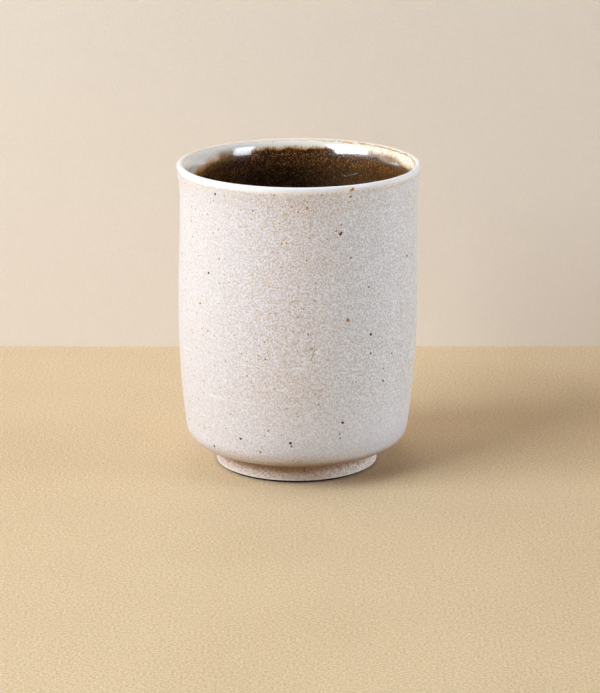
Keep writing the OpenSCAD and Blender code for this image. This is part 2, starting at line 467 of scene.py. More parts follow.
def lip_glaze_mesh():
    def wrap(t, drop_in, drop_out):
        inside = cut(slope(t) + inner_flare(t) if t else pooled_slope(), CUP_H, LIP_GLAZE_IN_Z + drop_in)
        outside = cut(lip_edge(t) + flare_line(t, FLARE_Z, NECK_Z), CUP_H, CUP_H - LIP_GLAZE_OUT + drop_out)
        return inside[::-1] + outside[1:]
    return turned_mesh(
        "white_glaze_lip",
        even(wrap(0, 0, 0), step=0.3 * MM),
        even(wrap(GLAZE_T - BACK_GAP, INNER_LAP, OUTER_LAP), step=0.8 * MM),
        FINE_TURN, lip_relief, 1,
    )


def liner_glaze_mesh():
    def line(t, top):
        return cut((inner_flare(t) if t else pooled_slope()) + basin(t), top, FLOOR_Z - t)
    return turned_mesh(
        "iron_glaze_inside",
        even(line(0, LIP_GLAZE_IN_Z), step=0.9 * MM),
        even(line(GLAZE_T - BACK_GAP, LIP_GLAZE_IN_Z + INNER_LAP), step=4 * MM),
        PLAIN_TURN, liner_relief, -1,
    )


def foot_wash_mesh():
    return turned_mesh(
        "wash_on_foot",
        even(washed_side(0), step=0.22 * MM),
        even(washed_side(WASH_T - BACK_GAP), step=0.8 * MM),
        FINE_TURN, wash_relief, 1,
    )


def clay_mesh():
    """The whole body of clay. Only the underside of the foot shows, so the rest is coarse."""
    side = washed_side(WASH_T)
    ring = [
        side[-1],
        (side[-1][0] - UNDERCUT, 0),
        (RECESS_R + FOOT_BEVEL, 0),
        (RECESS_R, FOOT_BEVEL),
        (RECESS_TOP_R, RECESS_DEPTH - RECESS_CORNER_R),
    ]
    corner = arc((RECESS_TOP_R - RECESS_CORNER_R, RECESS_DEPTH - RECESS_CORNER_R), RECESS_CORNER_R, 0, 90)
    underside = even(softened(ring, radius=0.25 * MM) + corner + [(0, RECESS_DEPTH)], step=0.25 * MM)
    wall = (
        slope(GLAZE_T)[::-1]
        + lip_edge(GLAZE_T)[1:]
        + flare_line(GLAZE_T, FLARE_Z, NECK_Z)
        + outer_wall(GLAZE_T)
    )
    inside = (inner_flare(GLAZE_T) + basin(GLAZE_T))[::-1]
    covered = even(inside + wall + side[1:], step=1.2 * MM)
    return turned_mesh("stoneware_body", underside, covered[:-1][::-1], PLAIN_TURN, clay_relief, -1)


# Shader nodes

# The smallest grain of a mask, as a share of the largest
SMALLEST_GRAIN = 0.35
# A spot is full within the first share of its width and gone beyond the second, both from its middle
SPOT_FULL, SPOT_GONE = 0.32, 0.66
# The full core of a stroke as a share of its half width, and how much it covers
STROKE_CORE, STROKE_COVER = 0.3, 0.8
# Stands in for a radius near the axis, where a direction round it means nothing
LEAST_R = 1 * MM


def new_material(name):
    """A material with an empty tree, its Principled shader and the object's own coordinates."""
    material = bpy.data.materials.new(name)
    material.use_nodes = True
    tree = material.node_tree
    tree.nodes.clear()
    output = tree.nodes.new("ShaderNodeOutputMaterial")
    shader = tree.nodes.new("ShaderNodeBsdfPrincipled")
    tree.links.new(shader.outputs["BSDF"], output.inputs["Surface"])
    place = tree.nodes.new("ShaderNodeTexCoord").outputs["Object"]
    return material, tree, shader, place


def feed(tree, socket, value):
    """Links another socket to this one, or sets this one to a constant."""
    if isinstance(value, bpy.types.NodeSocket):
        tree.links.new(value, socket)
    else:
        socket.default_value = value


def node(tree, kind, inputs, **settings):
    """Adds a node. An input is a socket to link or a constant."""
    made = tree.nodes.new(kind)
    for key, value in settings.items():
        setattr(made, key, value)
    for key, value in inputs.items():
        feed(tree, made.inputs[key], value)
    return made


def maths(tree, operation, *values):
    """Result of one sum on sockets or constants."""
    made = node(tree, "ShaderNodeMath", dict(enumerate(values)), operation=operation)
    return made.outputs[0]


def times(tree, first, second):
    """Product of two sockets or constants."""
    return maths(tree, "MULTIPLY", first, second)


def between(tree, value, low, high, to_low=0.0, to_high=1.0):
    """Smooth step from to_low at low to to_high at high."""
    inputs = {"Value": value, "From Min": low, "From Max": high, "To Min": to_low, "To Max": to_high}
    return node(tree, "ShaderNodeMapRange", inputs, interpolation_type="SMOOTHSTEP").outputs["Result"]


def vectors(tree, operation, first, second):
    """Result of one sum on two vectors, or on a vector and a factor for SCALE."""
    second_input = "Scale" if operation == "SCALE" else 1
    made = node(tree, "ShaderNodeVectorMath", {0: first, second_input: second}, operation=operation)
    return made.outputs["Value" if operation in ("DISTANCE", "DOT_PRODUCT") else 0]


def mixed(tree, share, first, second):
    """Second colour over the first, by share."""
    made = node(tree, "ShaderNodeMix", {}, data_type="RGBA")
    for name, value in (("Factor_Float", share), ("A_Color", first), ("B_Color", second)):
        feed(tree, next(s for s in made.inputs if s.identifier == name), value)
    return next(s for s in made.outputs if s.identifier == "Result_Color")


def lumps(tree, place, size, detail=2.0, seed=0.0, squeeze=(1, 1, 1), rough=0.55):
    """Noise from 0 to 1 whose lumps are about size across, drawn out along an axis by squeeze."""
    made = node(tree, "ShaderNodeMapping", {
        "Vector": place,
        "Location": (seed, seed, seed),
        "Scale": tuple(s / size for s in squeeze),
    })
    inputs = {"Vector": made.outputs[0], "Scale": 1.0, "Detail": detail, "Roughness": rough}
    return node(tree, "ShaderNodeTexNoise", inputs).outputs["Fac"]


def shaken(tree, place, size, reach):
    """Coordinates moved about by noise, so that round shapes become ragged."""
    inputs = {"Vector": place, "Scale": 1 / size, "Detail": 1.0}
    colour = node(tree, "ShaderNodeTexNoise", inputs).outputs["Color"]
    centred = vectors(tree, "SUBTRACT", colour, (0.5, 0.5, 0.5))
    return vectors(tree, "ADD", place, vectors(tree, "SCALE", centred, reach))


def grains(tree, place, spacing, size, soft=0.5, seed=0.0):
    """Mask of scattered round grains: 1 inside a grain, 0 outside. Sizes vary from grain to grain."""
    moved = vectors(tree, "ADD", place, (seed, seed, seed))
    cells = node(tree, "ShaderNodeTexVoronoi", {"Vector": moved, "Scale": 1 / spacing})
    parts = node(tree, "ShaderNodeSeparateXYZ", {0: cells.outputs["Color"]})
    reach = between(tree, parts.outputs[0], 0.0, 1.0, SMALLEST_GRAIN * size / spacing, size / spacing)
    inner = times(tree, reach, 1 - soft)
    return between(tree, cells.outputs["Distance"], inner, reach, 1.0, 0.0)


def polar(tree, place):
    """Radius, height, and the pair of unit X and Y, round the cup's own leaning axis."""
    x, y, z = node(tree, "ShaderNodeSeparateXYZ", {0: place}).outputs[:3]
    drift = maths(tree, "MULTIPLY_ADD", z, -LEAN / CUP_H, LEAN)
    x = maths(tree, "ADD", x, drift)
    radius = maths(tree, "SQRT", maths(tree, "MULTIPLY_ADD", x, x, times(tree, y, y)))
    safe = maths(tree, "MAXIMUM", radius, LEAST_R)
    return radius, z, (maths(tree, "DIVIDE", x, safe), maths(tree, "DIVIDE", y, safe))


def facing(tree, unit, degrees):
    """1 on the side that lies this many degrees round from the front, towards +X, and -1 opposite."""
    side = times(tree, unit[0], math.sin(math.radians(degrees)))
    ahead = times(tree, unit[1], -math.cos(math.radians(degrees)))
    return maths(tree, "ADD", side, ahead)


def on_wall(degrees, z, radius):
    """Point of the leaning cup at an angle from the front, a height and a radius."""
    a = math.radians(degrees)
    return (radius * math.sin(a) - LEAN * (1 - z / CUP_H), -radius * math.cos(a), z)


def wall_radius(z):
    """Radius of the outside at a height."""
    line = np.array(flare_line(0, FLARE_Z, NECK_Z) + outer_wall(0)[:-1])
    return float(np.interp(z, line[::-1, 1], line[::-1, 0]))


def spots(tree, place, table):
    """Mask of single spots, each given as degrees from the front, height and diameter in mm."""
    total = None
    for degrees, height, wide in table:
        centre = on_wall(degrees, height * MM, wall_radius(height * MM))
        far = vectors(tree, "DISTANCE", place, centre)
        mask = between(tree, far, SPOT_FULL * wide * MM, SPOT_GONE * wide * MM, 1.0, 0.0)
        total = mask if total is None else maths(tree, "MAXIMUM", total, mask)
    return total


def stroke(tree, place, start, end, wide):
    """Mask of a thin stroke between two places, each given as degrees, height and radius in mm.
    Wide is half its width."""
    first, last = (Vector(on_wall(a, h * MM, r * MM)) for a, h, r in (start, end))
    along = last - first
    from_first = vectors(tree, "SUBTRACT", place, first)
    share = times(tree, vectors(tree, "DOT_PRODUCT", from_first, along), 1 / along.length_squared)
    share = maths(tree, "MINIMUM", maths(tree, "MAXIMUM", share, 0.0), 1.0)
    away = vectors(tree, "DISTANCE", from_first, vectors(tree, "SCALE", along, share))
    return between(tree, away, STROKE_CORE * wide, wide, STROKE_COVER, 0.0)


def finish(tree, shader, inputs, relief, depth):
    """Feeds the shader's inputs, and its normal from a relief from 0 to 1 that is worth depth metres."""
    bump = node(tree, "ShaderNodeBump", {"Height": relief, "Distance": depth, "Strength": 1.0})
    for name, value in {**inputs, "Normal": bump.outputs[0]}.items():
        feed(tree, shader.inputs[name], value)


# Colours
CREAM = srgb(243, 240, 247)
CREAM_SHADE = srgb(205, 187, 176)
CALM_CREAM = srgb(214, 207, 206)
COOL_WHITE = srgb(245, 249, 255)
COOL_SHADE = srgb(198, 197, 197)
# The next three are painted into the glaze near the foot: shade over the thinner glaze, a bluish tint against
# the floor's warm light, and shade over its brown edge
THIN_GLAZE_AND_SHADE = srgb(158, 144, 136)
PAINTED_COOL_TINT = srgb(226, 230, 244)
GLAZE_EDGE_BROWN_AND_SHADE = srgb(140, 108, 80)
LIP_WHITE = srgb(250, 250, 251)
LIP_SHADE = srgb(238, 239, 240)
CREST_CREAM = srgb(242, 226, 210)
SPECK_GOLD = srgb(212, 176, 116)
SPECK_BROWN = srgb(164, 116, 52)
GREY_TAN = srgb(198, 189, 172)
# Pits, partly painted shade in the dent
PIT_AND_DENT_SHADE = srgb(150, 134, 116)
IRON_BLACK = srgb(22, 11, 5)
WASH_THIN = srgb(238, 217, 202)
WASH_GREY = srgb(206, 190, 180)
WASH_WHITE = srgb(244, 238, 228)
# Painted shadow in the gap under the foot's edge
CONTACT_SHADOW_CLAY = srgb(22, 15, 10)
# Brown of the wash near the top of the foot, with painted shade
WASH_BROWN_AND_SHADE = srgb(164, 128, 96)
# Painted highlight of the wash's lower edge
WASH_EDGE_HIGHLIGHT = srgb(236, 228, 220)
WASH_SPECK = srgb(146, 104, 74)
WASH_DARK_SPECK = srgb(118, 72, 42)
CLAY = srgb(176, 132, 92)
CLAY_LIGHT = srgb(196, 156, 116)
PALE_GROG = srgb(222, 196, 160)
DARK_GROG = srgb(84, 50, 30)
INSIDE_CREAM = srgb(255, 245, 228)
INSIDE_GREEN = srgb(244, 242, 234)
OCHRE = srgb(205, 152, 88)
RUST = srgb(122, 62, 24)
OLIVE = srgb(132, 96, 42)
BROWN = srgb(47, 21, 9)
DEEP_BROWN = srgb(14, 8, 3)
POOLED_BROWN = srgb(84, 48, 24)
GOLD_BROWN = srgb(158, 106, 52)
PALE_LINE = srgb(160, 162, 176)
GOLDEN_CREAM = srgb(226, 192, 138)

# Iron spots of the outside: degrees from the front, height and diameter in mm
IRON_SPOTS = (
    (-42.2, 86.2, 0.75), (-21.7, 82.8, 0.55), (19.8, 76.2, 0.8), (20.3, 76.7, 0.6),
    (64.1, 65.7, 0.85), (71, 65.2, 0.75), (-47.2, 62.8, 0.8), (-75.2, 64.8, 0.5),
    (35.1, 59.9, 0.55), (-53.2, 53.2, 0.6), (36.5, 46, 0.85), (36.7, 40.4, 0.65),
    (45.4, 31.1, 0.7), (44.9, 34.9, 0.5), (22.6, 20.7, 0.85), (21.4, 17.3, 0.5),
    (21.8, 15.9, 0.5), (-3.2, 15.2, 0.9), (-2.7, 14.2, 0.55), (-29.2, 15.2, 0.75),
    (-47.2, 10.8, 0.8), (-15.2, 40.2, 0.5), (118, 58, 0.8), (150, 30, 0.7),
    (-120, 48, 0.8), (-150, 72, 0.6), (172, 18, 0.7), (-98, 24, 0.6),
)
# The larger rust spots, in the same form
RUST_SPOTS = (
    (-11.2, 87.8, 0.7), (10.3, 87.8, 0.6), (24.8, 88.7, 0.9), (24.3, 86.8, 0.8),
    (3.8, 84.2, 0.7), (17.8, 77.2, 0.6), (20.3, 78.8, 0.6), (25.3, 69.2, 0.7),
    (3.8, 69.2, 0.6), (23.8, 51.2, 1.1), (50.8, 38.8, 0.8), (4.8, 47.8, 0.6),
    (-47.2, 45.8, 0.6), (-14.2, 18.8, 0.8), (-18.7, 11.8, 0.8), (10.3, 26.8, 0.6),
    (-1.7, 9.8, 0.7), (0.8, 9.2, 0.8), (2.3, 9.4, 0.6), (140, 66, 0.9), (-160, 40, 0.9),
)

# A rust mark on the outside of the lip, in the same form
LIP_SPOTS = ((25.2, 88.9, 0.9), (24.2, 88.7, 0.6))
# Fine rings of the throwing that show on the front: heights in mm
THROWN_LINES = (19.5, 26.5, 37.8, 56)
# A small flaw of pits on the front, whose marks are partly painted shade on the dent's left wall: degrees
# from the front, height and radius in mm
PIT_POINTS = ((5.8, 43.2, 34.9), (6.8, 43.8, 34.9), (7.9, 42.9, 34.9), (7.3, 41.9, 34.9), (6.3, 40.3, 34.9))
# A painted highlight on the dent's right wall: degrees from the front, height and diameter in mm
DENT_HIGHLIGHT = ((9, 42.4, 1.0),)
# A pale bluish line in the liner: degrees from the front, height and radius in mm
PALE_LINE_POINTS = ((156, 80.1, 31.4), (153.4, 79.6, 31.4), (146, 80.9, 31.5))
# A pale dot in it, in the same form
PALE_DOT = ((-172.4, 82.6, 31.7), (-172, 82.6, 31.7))

# Sides of the cup where a look is strongest, in degrees from the front towards +X
SPECKLED_SIDE = 5
THIN_LIP_SIDE = 60
WHITE_WASH_SIDE = 70
COOL_SIDE = 78
RUNNY_SIDE = 92
RIGHT_INSIDE = 98
LIT_INSIDE = 112
RAISED_INSIDE = 126
BACK_SIDE = 180
LEFT_INSIDE = -100
CALM_SIDE = -80
WINDOW_SIDE = -75

# Height at which the inside breaks from pale to brown. It drops at the left and at the right, and the powers
# say how late; between the right and the back it rises. On the left the break is this much longer.
BREAK_Z = 87.25 * MM
LEFT_DROP, LEFT_POWER = 3.6 * MM, 8.0
RIGHT_DROP, RIGHT_POWER = 1.0 * MM, 24.0
RIGHT_RISE = 0.45 * MM
LEFT_STRETCH = 3.0
# How far its fine streaks and its wider clouds move the break
STREAK_REACH, CLOUD_REACH = 1.7 * MM, 1.8 * MM
# Heights over the break between which one colour passes to the next
INTO_DEEP = (-1.0 * MM, -9 * MM)
INTO_EDGE = (-1.1 * MM, -0.2 * MM)
INTO_OCHRE = (-0.25 * MM, 0.15 * MM)
INTO_PALE = (0.05 * MM, 0.95 * MM)

# Heights on the cup between which a look comes in, or goes
INTO_POOL = (68 * MM, 44 * MM)
INTO_MIRROR = (84.6 * MM, 87.0 * MM)
INTO_SPECKLED = (80 * MM, 86 * MM)
# Painted shade and a painted bluish tint near the foot fade out between these heights
OUT_OF_THIN_GLAZE_AND_SHADE = (8 * MM, 18 * MM)
OUT_OF_PAINTED_COOL_TINT = (14 * MM, 32 * MM)
OUT_OF_EDGE_BROWN_AND_SHADE = (7.4 * MM, 10.4 * MM)
INTO_CREST = (88.9 * MM, 89.5 * MM)
INTO_COAT = (89.3 * MM, 88.6 * MM)
INTO_RUST_LINE = (88.0 * MM, 88.6 * MM)
INTO_CLEAR_COAT = (85.5 * MM, 86.8 * MM)
OUT_OF_CLEAR_COAT = (87.9 * MM, 89.2 * MM)
INTO_BROWN_AND_SHADE_WASH = (2.4 * MM, 4.3 * MM)
INTO_WASH_EDGE_HIGHLIGHT = (1.4 * MM, 1.0 * MM)
INTO_UPPER_WASH = (1.4 * MM, 2.8 * MM)
# Radii in the same form
INTO_INSIDE = (34.3 * MM, 33.5 * MM)
INTO_OUTSIDE = (34.7 * MM, 34.9 * MM)
INTO_CONTACT_SHADOW = (FOOT_R - 1.5 * MM, FOOT_R - 1.25 * MM)
# The rust line on the lip, and how far from its middle a line is full and gone
RUST_LINE_R = 34.0 * MM
RUST_LINE_HALF = (0.05 * MM, 0.34 * MM)
THROWN_LINE_HALF = (0.05 * MM, 0.3 * MM)

# Half widths of strokes
PIT_HALF = 0.3 * MM
PALE_LINE_HALF = 0.13 * MM
PALE_DOT_HALF = 0.4 * MM
# How much higher the pebbly coat reaches up the thin right side of the lip
THIN_LIP_RISE = 0.4 * MM
# Depths that the bumps of each material stand for
PEBBLE_H = 0.11 * MM
LINER_BUMP_H = 0.04 * MM
WASH_BUMP_H = 0.07 * MM
CLAY_BUMP_H = 0.08 * MM
# Roughness of the inside, at the lip and further down, and what the pebbly coat on the lip adds
MIRROR_ROUGHNESS = 0.15
SATIN_ROUGHNESS = 0.34
COAT_ON_LIP_ROUGHNESS = 0.26


def stained(tree, colour, mask):
    """Iron stain over a colour: golden where it is thin, orange-brown where it is full."""
    colour = mixed(tree, between(tree, mask, 0.0, 0.6, 0.0, 0.85), colour, SPECK_GOLD)
    return mixed(tree, between(tree, mask, 0.35, 1.0), colour, SPECK_BROWN)


def over_break(tree, place, leftward, streaks):
    """Height over the ragged line at which the inside breaks from pale to brown."""
    _, z, unit = polar(tree, place)
    rightward = maths(tree, "MAXIMUM", facing(tree, unit, RIGHT_INSIDE), 0.0)
    level = maths(tree, "MULTIPLY_ADD", maths(tree, "POWER", leftward, LEFT_POWER), -LEFT_DROP, BREAK_Z)
    level = maths(tree, "MULTIPLY_ADD", maths(tree, "POWER", rightward, RIGHT_POWER), -RIGHT_DROP, level)
    raised = between(tree, facing(tree, unit, RAISED_INSIDE), 0.8, 0.96, 0.0, RIGHT_RISE)
    level = maths(tree, "ADD", level, raised)
    clouds = times(tree, lumps(tree, place, 4 * MM, detail=2, seed=8), CLOUD_REACH)
    moved = maths(tree, "ADD", z, maths(tree, "MULTIPLY_ADD", streaks, STREAK_REACH, clouds))
    middle = (STREAK_REACH + CLOUD_REACH) / 2
    above = maths(tree, "SUBTRACT", moved, maths(tree, "ADD", level, middle))
    return maths(tree, "DIVIDE", above, between(tree, leftward, 0.5, 1.0, 1.0, LEFT_STRETCH))


def inside_colour(tree, place):
    """Inside of the cup: pale at the lip, breaking through ochre and rust to dark brown with golden grains.
    At both sides the break hangs lower, and on the left it is drawn out into olive streaks."""
    _, z, unit = polar(tree, place)
    leftward = maths(tree, "MAXIMUM", facing(tree, unit, LEFT_INSIDE), 0.0)
    left = between(tree, leftward, 0.35, 0.85)
    streaks = lumps(tree, place, 0.5 * MM, detail=3, seed=3, squeeze=(1, 1, 0.25))
    above = over_break(tree, place, leftward, streaks)

    # Golden streaks and lighter brown on the inside wall that the window lights: partly the glaze, partly
    # painted light
    to_light = facing(tree, unit, LIT_INSIDE)
    golden = between(tree, streaks, 0.46, 0.62, 0.0, 0.8)
    golden = times(tree, between(tree, to_light, 0.5, 0.9), golden)
    pale = mixed(tree, golden, mixed(tree, left, INSIDE_CREAM, INSIDE_GREEN), GOLDEN_CREAM)

    depth = between(tree, above, *INTO_DEEP)
    brown = mixed(tree, depth, BROWN, DEEP_BROWN)
    brown = mixed(tree, between(tree, z, *INTO_POOL), brown, POOLED_BROWN)
    thin = between(tree, streaks, 0.4, 0.66, 0.12, 0.26)
    thin = times(tree, thin, between(tree, to_light, 0.35, 0.95))
    brown = mixed(tree, thin, brown, GOLD_BROWN)
    grain = lumps(tree, place, 0.42 * MM, detail=2, seed=5, rough=0.65)
    gold = between(tree, depth, 0.0, 1.0, 1.0, 0.36)
    gold = times(tree, between(tree, grain, 0.53, 0.61), gold)
    brown = mixed(tree, gold, brown, GOLD_BROWN)

    edge = mixed(tree, left, RUST, OLIVE)
    edge = mixed(tree, between(tree, grain, 0.46, 0.6, 0.6, 0.0), edge, BROWN)
    colour = mixed(tree, between(tree, above, *INTO_EDGE), brown, edge)
    colour = mixed(tree, between(tree, above, *INTO_OCHRE, 0.0, 0.9), colour, OCHRE)
    colour = mixed(tree, between(tree, above, *INTO_PALE), colour, pale)
    # A pale bluish line in the liner
    for start, end in zip(PALE_LINE_POINTS, PALE_LINE_POINTS[1:]):
        colour = mixed(tree, stroke(tree, place, start, end, PALE_LINE_HALF), colour, PALE_LINE)
    return mixed(tree, stroke(tree, place, *PALE_DOT, PALE_DOT_HALF), colour, GOLDEN_CREAM)


def inner_gloss(tree, z):
    """Roughness of the inside: a mirror at the lip, satin further down among fine crystals."""
    return between(tree, z, *INTO_MIRROR, SATIN_ROUGHNESS, MIRROR_ROUGHNESS)


def ring_line(tree, z, at):
    """A fine line round the cup at one height."""
    off = maths(tree, "ABSOLUTE", maths(tree, "SUBTRACT", z, at))
    return between(tree, off, *THROWN_LINE_HALF, 1.0, 0.0)


def glaze_ground(tree, place, pebbles, unit, cool):
    """The glaze itself: light pebbles in a darker ground, warm on the left and cool towards the right,
    where it also runs down in streaks. On the left the pebbles fade."""
    light, shade = mixed(tree, cool, CREAM, COOL_WHITE), mixed(tree, cool, CREAM_SHADE, COOL_SHADE)
    colour = mixed(tree, between(tree, pebbles, 0.38, 0.62), shade, light)
    calm = between(tree, facing(tree, unit, CALM_SIDE), 0.3, 0.95, 0.0, 0.55)
    colour = mixed(tree, calm, colour, CALM_CREAM)
    runs = lumps(tree, place, 0.55 * MM, detail=2, seed=2, squeeze=(1, 1, 0.22))
    edge = between(tree, facing(tree, unit, RUNNY_SIDE), 0.7, 0.95)
    streaks = times(tree, between(tree, runs, 0.46, 0.6, 0.0, 0.5), edge)
    return mixed(tree, streaks, colour, GREY_TAN), times(tree, runs, edge)


def speckled(tree, colour, ragged, z, unit, cool):
    """Iron specks over the glaze. They are fewer on the cool side, and crowd under the lip on the front."""
    warm = between(tree, cool, 0.0, 1.0, 1.0, 0.35)
    front = between(tree, facing(tree, unit, SPECKLED_SIDE), 0.82, 0.98)
    crowd = times(tree, between(tree, z, *INTO_SPECKLED), front)
    share = times(tree, warm, between(tree, crowd, 0.0, 1.0, 0.6, 1.0))
    fine = grains(tree, ragged, spacing=0.85 * MM, size=0.31 * MM, soft=0.8, seed=0.3)
    colour = stained(tree, colour, times(tree, fine, share))
    share = between(tree, warm, 0.35, 1.0, 0.25, 0.9)
    specks = grains(tree, ragged, spacing=1.6 * MM, size=0.42 * MM, soft=0.7)
    colour = stained(tree, colour, times(tree, specks, share))
    return stained(tree, colour, spots(tree, ragged, RUST_SPOTS))


def thinned_and_shaded(tree, colour, pebbles, z, unit):
    """Towards the foot, away from the window's side, the glaze thins and turns brown at its edge, with
    painted shade over both, and a painted bluish tint offsets the warm light thrown up from the floor.
    """
    shaded = between(tree, facing(tree, unit, WINDOW_SIDE), 0.2, 0.9, 1.0, 0.0)
    # Painted shade over the thinner glaze, darker towards the foot on the side away from the window
    thin = times(tree, between(tree, z, *OUT_OF_THIN_GLAZE_AND_SHADE, 0.42, 0.0), shaded)
    colour = mixed(tree, thin, colour, THIN_GLAZE_AND_SHADE)
    # Painted bluish tint low on the side away from the window, against the floor's warm light
    bluish = times(tree, between(tree, z, *OUT_OF_PAINTED_COOL_TINT, 0.35, 0.0), shaded)
    colour = mixed(tree, bluish, colour, PAINTED_COOL_TINT)
    # The glaze's brown edge just above the foot, with painted shade over it, away from the window
    uneven_z = maths(tree, "MULTIPLY_ADD", pebbles, 1.2 * MM, z)
    low = times(tree, between(tree, uneven_z, *OUT_OF_EDGE_BROWN_AND_SHADE, 0.8, 0.0), shaded)
    return mixed(tree, low, colour, GLAZE_EDGE_BROWN_AND_SHADE)


def outside_coat(tree, place):
    """Colour, pebbles and relief of the outside."""
    _, z, unit = polar(tree, place)
    clouds = times(tree, lumps(tree, place, 14 * MM), 0.4)
    cool = between(tree, maths(tree, "ADD", facing(tree, unit, COOL_SIDE), clouds), 0.35, 0.95)
    pebbles = lumps(tree, place, 0.5 * MM, detail=3, seed=4, rough=0.72)
    colour, runs = glaze_ground(tree, place, pebbles, unit, cool)

    rings = 0.0
    for at in THROWN_LINES:
        rings = maths(tree, "ADD", ring_line(tree, z, at * MM), rings)
    broken = between(tree, lumps(tree, place, 7 * MM, detail=3, seed=1), 0.4, 0.65, 0.0, 0.4)
    colour = mixed(tree, times(tree, rings, broken), colour, LIP_WHITE)

    ragged = shaken(tree, place, 0.6 * MM, 0.5 * MM)
    colour = speckled(tree, colour, ragged, z, unit, cool)
    colour = thinned_and_shaded(tree, colour, pebbles, z, unit)
    # Pit marks with painted shade on the dent's left wall, and a painted highlight on its right wall
    for start, end in zip(PIT_POINTS, PIT_POINTS[1:]):
        colour = mixed(tree, stroke(tree, ragged, start, end, PIT_HALF), colour, PIT_AND_DENT_SHADE)
    colour = mixed(tree, spots(tree, ragged, DENT_HIGHLIGHT), colour, LIP_WHITE)
    less_ragged = shaken(tree, place, 0.6 * MM, 0.25 * MM)
    colour = mixed(tree, spots(tree, less_ragged, IRON_SPOTS), colour, IRON_BLACK)

    relief = maths(tree, "MULTIPLY_ADD", runs, 0.8, pebbles)
    return colour, pebbles, maths(tree, "MULTIPLY_ADD", rings, 0.25, relief)


def pale_glaze():
    """Pebbly satin glaze of the outside."""
    material, tree, shader, place = new_material("pale_glaze")
    colour, pebbles, relief = outside_coat(tree, place)
    finish(tree, shader, {
        "Base Color": colour,
        "Roughness": between(tree, pebbles, 0.35, 0.65, 0.5, 0.36),
        "IOR": 1.42,
    }, relief, PEBBLE_H)
    return material


def rust_line(tree, place, z, unit, shifted):
    """Mask of the broken line along which the lip's glaze breaks to rust, strongest on the lit side."""
    right = between(tree, facing(tree, unit, LIT_INSIDE), 0.35, 0.85, 0.3, 1.0)
    off = maths(tree, "ABSOLUTE", maths(tree, "SUBTRACT", shifted, RUST_LINE_R))
    line = between(tree, off, *RUST_LINE_HALF, 1.0, 0.0)
    on_top = between(tree, z, *INTO_RUST_LINE)
    broken = between(tree, lumps(tree, place, 1.1 * MM, detail=2, seed=9), 0.28, 0.5)
    for share in (right, broken, on_top, 0.75):
        line = times(tree, line, share)
    return line


def white_glaze():
    """Glossy lip: white outside with the pebbly coat below, cream on the crest at the back, with a rust line
    where the glaze breaks, and the colours of the inside below that."""
    material, tree, shader, place = new_material("white_glaze")
    radius, z, unit = polar(tree, place)
    cloud = between(tree, lumps(tree, place, 1.2 * MM, detail=3), 0.45, 0.75, 0.0, 0.4)
    white = mixed(tree, cloud, LIP_WHITE, LIP_SHADE)
    behind = between(tree, facing(tree, unit, BACK_SIDE), -0.1, 0.5)
    crest = times(tree, between(tree, z, *INTO_CREST), behind)
    white = mixed(tree, crest, white, CREST_CREAM)

    coat, pebbles, pebble_relief = outside_coat(tree, place)
    uneven_z = maths(tree, "MULTIPLY_ADD", pebbles, 1.4 * MM, z)
    higher = between(tree, facing(tree, unit, THIN_LIP_SIDE), 0.5, 0.95, 0.0, -THIN_LIP_RISE)
    below = between(tree, maths(tree, "ADD", uneven_z, higher), *INTO_COAT)
    below = times(tree, below, between(tree, radius, *INTO_OUTSIDE))
    white = mixed(tree, below, white, coat)

    wander = lumps(tree, place, 3 * MM, detail=3, seed=1)
    shifted = maths(tree, "MULTIPLY_ADD", wander, 1.0 * MM, radius)
    colour = mixed(tree, between(tree, shifted, *INTO_INSIDE), white, inside_colour(tree, place))
    colour = stained(tree, colour, rust_line(tree, place, z, unit, shifted))
    ragged = shaken(tree, place, 0.6 * MM, 0.45 * MM)
    specks = grains(tree, ragged, spacing=2.2 * MM, size=0.34 * MM, soft=0.6, seed=0.1)
    colour = stained(tree, colour, times(tree, specks, 0.6))
    colour = stained(tree, colour, spots(tree, ragged, LIP_SPOTS))

    gloss = maths(tree, "MULTIPLY_ADD", below, COAT_ON_LIP_ROUGHNESS, inner_gloss(tree, z))
    pooled = between(tree, z, *INTO_CLEAR_COAT)
    pooled = times(tree, pooled, between(tree, z, *OUT_OF_CLEAR_COAT, 1.0, 0.25))
    smooth = times(tree, lumps(tree, place, 0.9 * MM, detail=2, seed=6), 0.4)
    rougher = maths(tree, "SUBTRACT", pebble_relief, smooth)
    relief = maths(tree, "MULTIPLY_ADD", below, rougher, smooth)
    finish(tree, shader, {
        "Base Color": colour,
        "Roughness": gloss,
        "IOR": 1.6,
        "Coat Weight": pooled,
        "Coat IOR": 2.5,
        "Coat Roughness": 0.11,
    }, relief, PEBBLE_H)
    return material


def iron_glaze():
    """Glossy iron-brown liner, whose upper edge breaks to rust."""
    material, tree, shader, place = new_material("iron_glaze")
    finish(tree, shader, {
        "Base Color": inside_colour(tree, place),
        "Roughness": inner_gloss(tree, polar(tree, place)[1]),
        "IOR": 1.42,
    }, lumps(tree, place, 0.6 * MM, detail=3, seed=6), LINER_BUMP_H)
    return material


